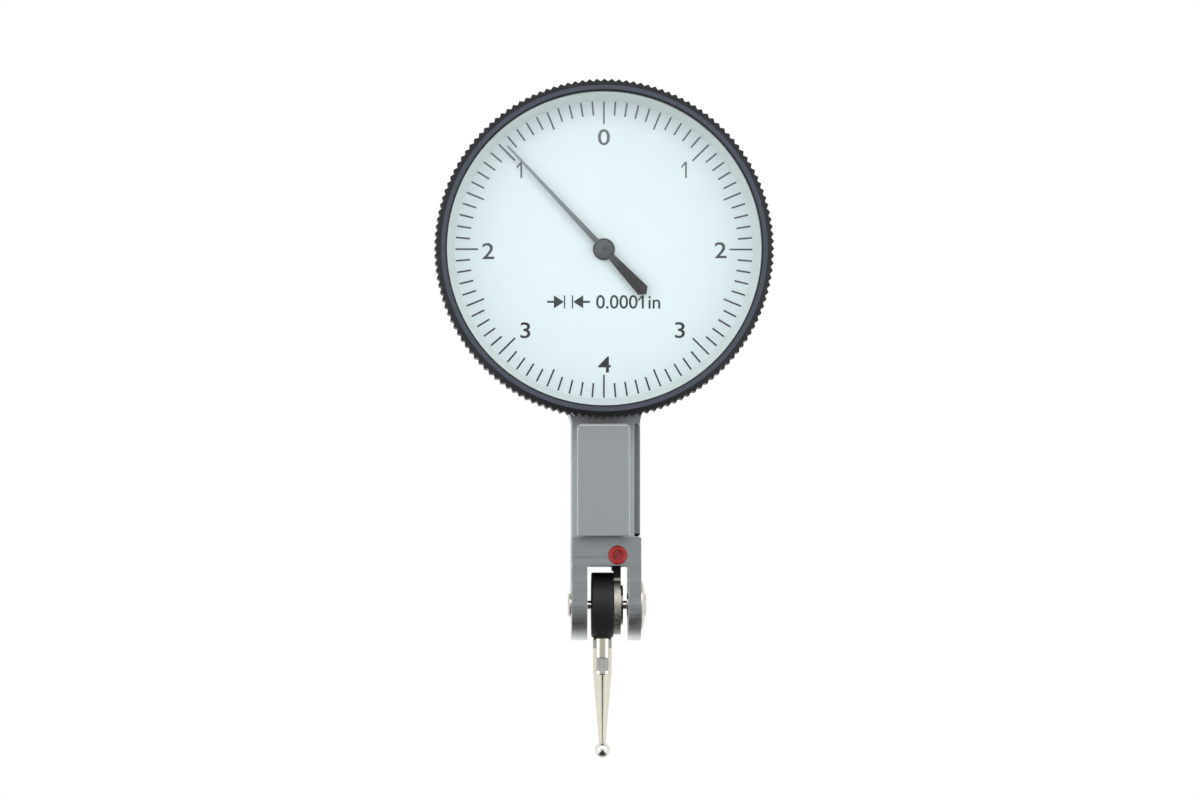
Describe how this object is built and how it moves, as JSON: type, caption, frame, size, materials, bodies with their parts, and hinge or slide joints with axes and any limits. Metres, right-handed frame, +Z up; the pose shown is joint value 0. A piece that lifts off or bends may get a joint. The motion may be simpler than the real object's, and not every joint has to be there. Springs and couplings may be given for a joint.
{
  "type": "dial test indicator",
  "caption": "Lever-type dial test indicator: round balanced dial in a knurled bezel on a slim neck with dovetails, and a swivelling ball contact in a fork below.",
  "frame": {"origin": "middle of the rear dovetail's outer face", "axes": "+X to the right of the dial, +Y out of the back along the pointer's arbor, +Z up from the contact to the dial"},
  "size_m": [0.04, 0.017, 0.0799],
  "materials": {
    "satin_steel": "fine-ground satin chrome on a hardened steel body",
    "cover_steel": "ground steel cover plate, darker than the body",
    "black_bezel": "satin black over a knurled ring",
    "glass": "clear flat crystal",
    "rubber": "matt black rubber",
    "dial_white": "matt white dial with black printing",
    "ring_grey": "pale grey dial surround",
    "pointer_dark": "black lacquered pointer with a dark bright-edged boss",
    "brass": "fine-grained watch brass",
    "movement_nickel": "grained nickel-plated movement parts",
    "arbor_steel": "polished hardened steel",
    "jewel_red": "polished synthetic ruby",
    "spring_blue": "blued spring steel",
    "lever_steel": "lapped stainless lever plate",
    "hub_black": "satin black oxide",
    "contact_steel": "polished steel contact",
    "ball_carbide": "mirror-lapped carbide ball",
    "screw_steel": "turned bright steel screws",
    "axle_dark": "dark polished steel",
    "screw_red": "red sealing lacquer over a slotted screw"
  },
  "bodies": {
    "frame": {"body_frame": "satin_steel", "side_cover": "cover_steel", "side_cover_screws": "screw_steel", "movement_plate": "movement_nickel", "movement_plate_screws": "screw_steel", "crown_cock_left": "movement_nickel", "crown_cock_right": "movement_nickel", "centre_cock": "movement_nickel", "cock_screws": "screw_steel", "centre_jewels": "jewel_red", "crown_jewels": "jewel_red", "sector_bushes": "brass", "hairspring": "spring_blue", "hairspring_stud": "screw_steel", "pivot_screw_left": "screw_steel", "pivot_screw_right": "screw_steel", "pivot_lock_ring": "screw_steel", "lever_stop_screw": "screw_red", "bezel_spring": "spring_blue"},
    "bezel": {"bezel_ring": "black_bezel", "crystal": "glass", "crystal_seal": "rubber", "dial_ring": "ring_grey", "dial_plate": "dial_white"},
    "pointer_arbor": {"centre_arbor": "arbor_steel", "pointer": "pointer_dark", "hairspring_collet": "brass"},
    "crown_gear": {"crown_wheel": "brass", "crown_arbor": "arbor_steel"},
    "sector": {"sector_lever": "brass", "sector_arbor": "arbor_steel"},
    "contact_rocker": {"contact_lever": "lever_steel", "drive_pins": "arbor_steel", "pivot_axle": "axle_dark", "friction_washer": "axle_dark"},
    "contact_point": {"swivel_hub": "hub_black", "contact_shank": "contact_steel", "contact_ball": "ball_carbide"}
  },
  "joints": [
    {"name": "bezel_turn", "type": "hinge", "parent": "frame", "child": "bezel", "pos_m": [0, -0.0058, 0.0271], "axis": [0, 1, 0], "continuous": true},
    {"name": "pointer_spin", "type": "hinge", "parent": "frame", "child": "pointer_arbor", "pos_m": [0, -0.0058, 0.0271], "axis": [0, 1, 0], "range_deg": [0, 400], "stiffness_Nm_per_rad": 0.00000026, "springref_deg": -899.54, "deforming": ["hairspring"]},
    {"name": "crown_spin", "type": "hinge", "parent": "frame", "child": "crown_gear", "pos_m": [0, -0.0058, 0.0271], "axis": [1, 0, 0], "range_deg": [0, 90.91]},
    {"name": "sector_swing", "type": "hinge", "parent": "frame", "child": "sector", "pos_m": [0, -0.0058, -0.0013], "axis": [-1, 0, 0], "range_deg": [0, 2.64]},
    {"name": "contact_swing", "type": "hinge", "parent": "frame", "child": "contact_rocker", "pos_m": [0, -0.0058, -0.0147], "axis": [-1, 0, 0], "range_deg": [0, 0.753]},
    {"name": "contact_swivel", "type": "hinge", "parent": "contact_rocker", "child": "contact_point", "pos_m": [0, -0.0058, -0.0147], "axis": [1, 0, 0], "range_deg": [-110, 110]}
  ],
  "couplings": [
    {"joint": "crown_spin", "follows": "pointer_spin", "ratio": 0.22727},
    {"joint": "sector_swing", "follows": "pointer_spin", "ratio": 0.0065876},
    {"joint": "contact_swing", "follows": "pointer_spin", "ratio": 0.0018822}
  ]
}
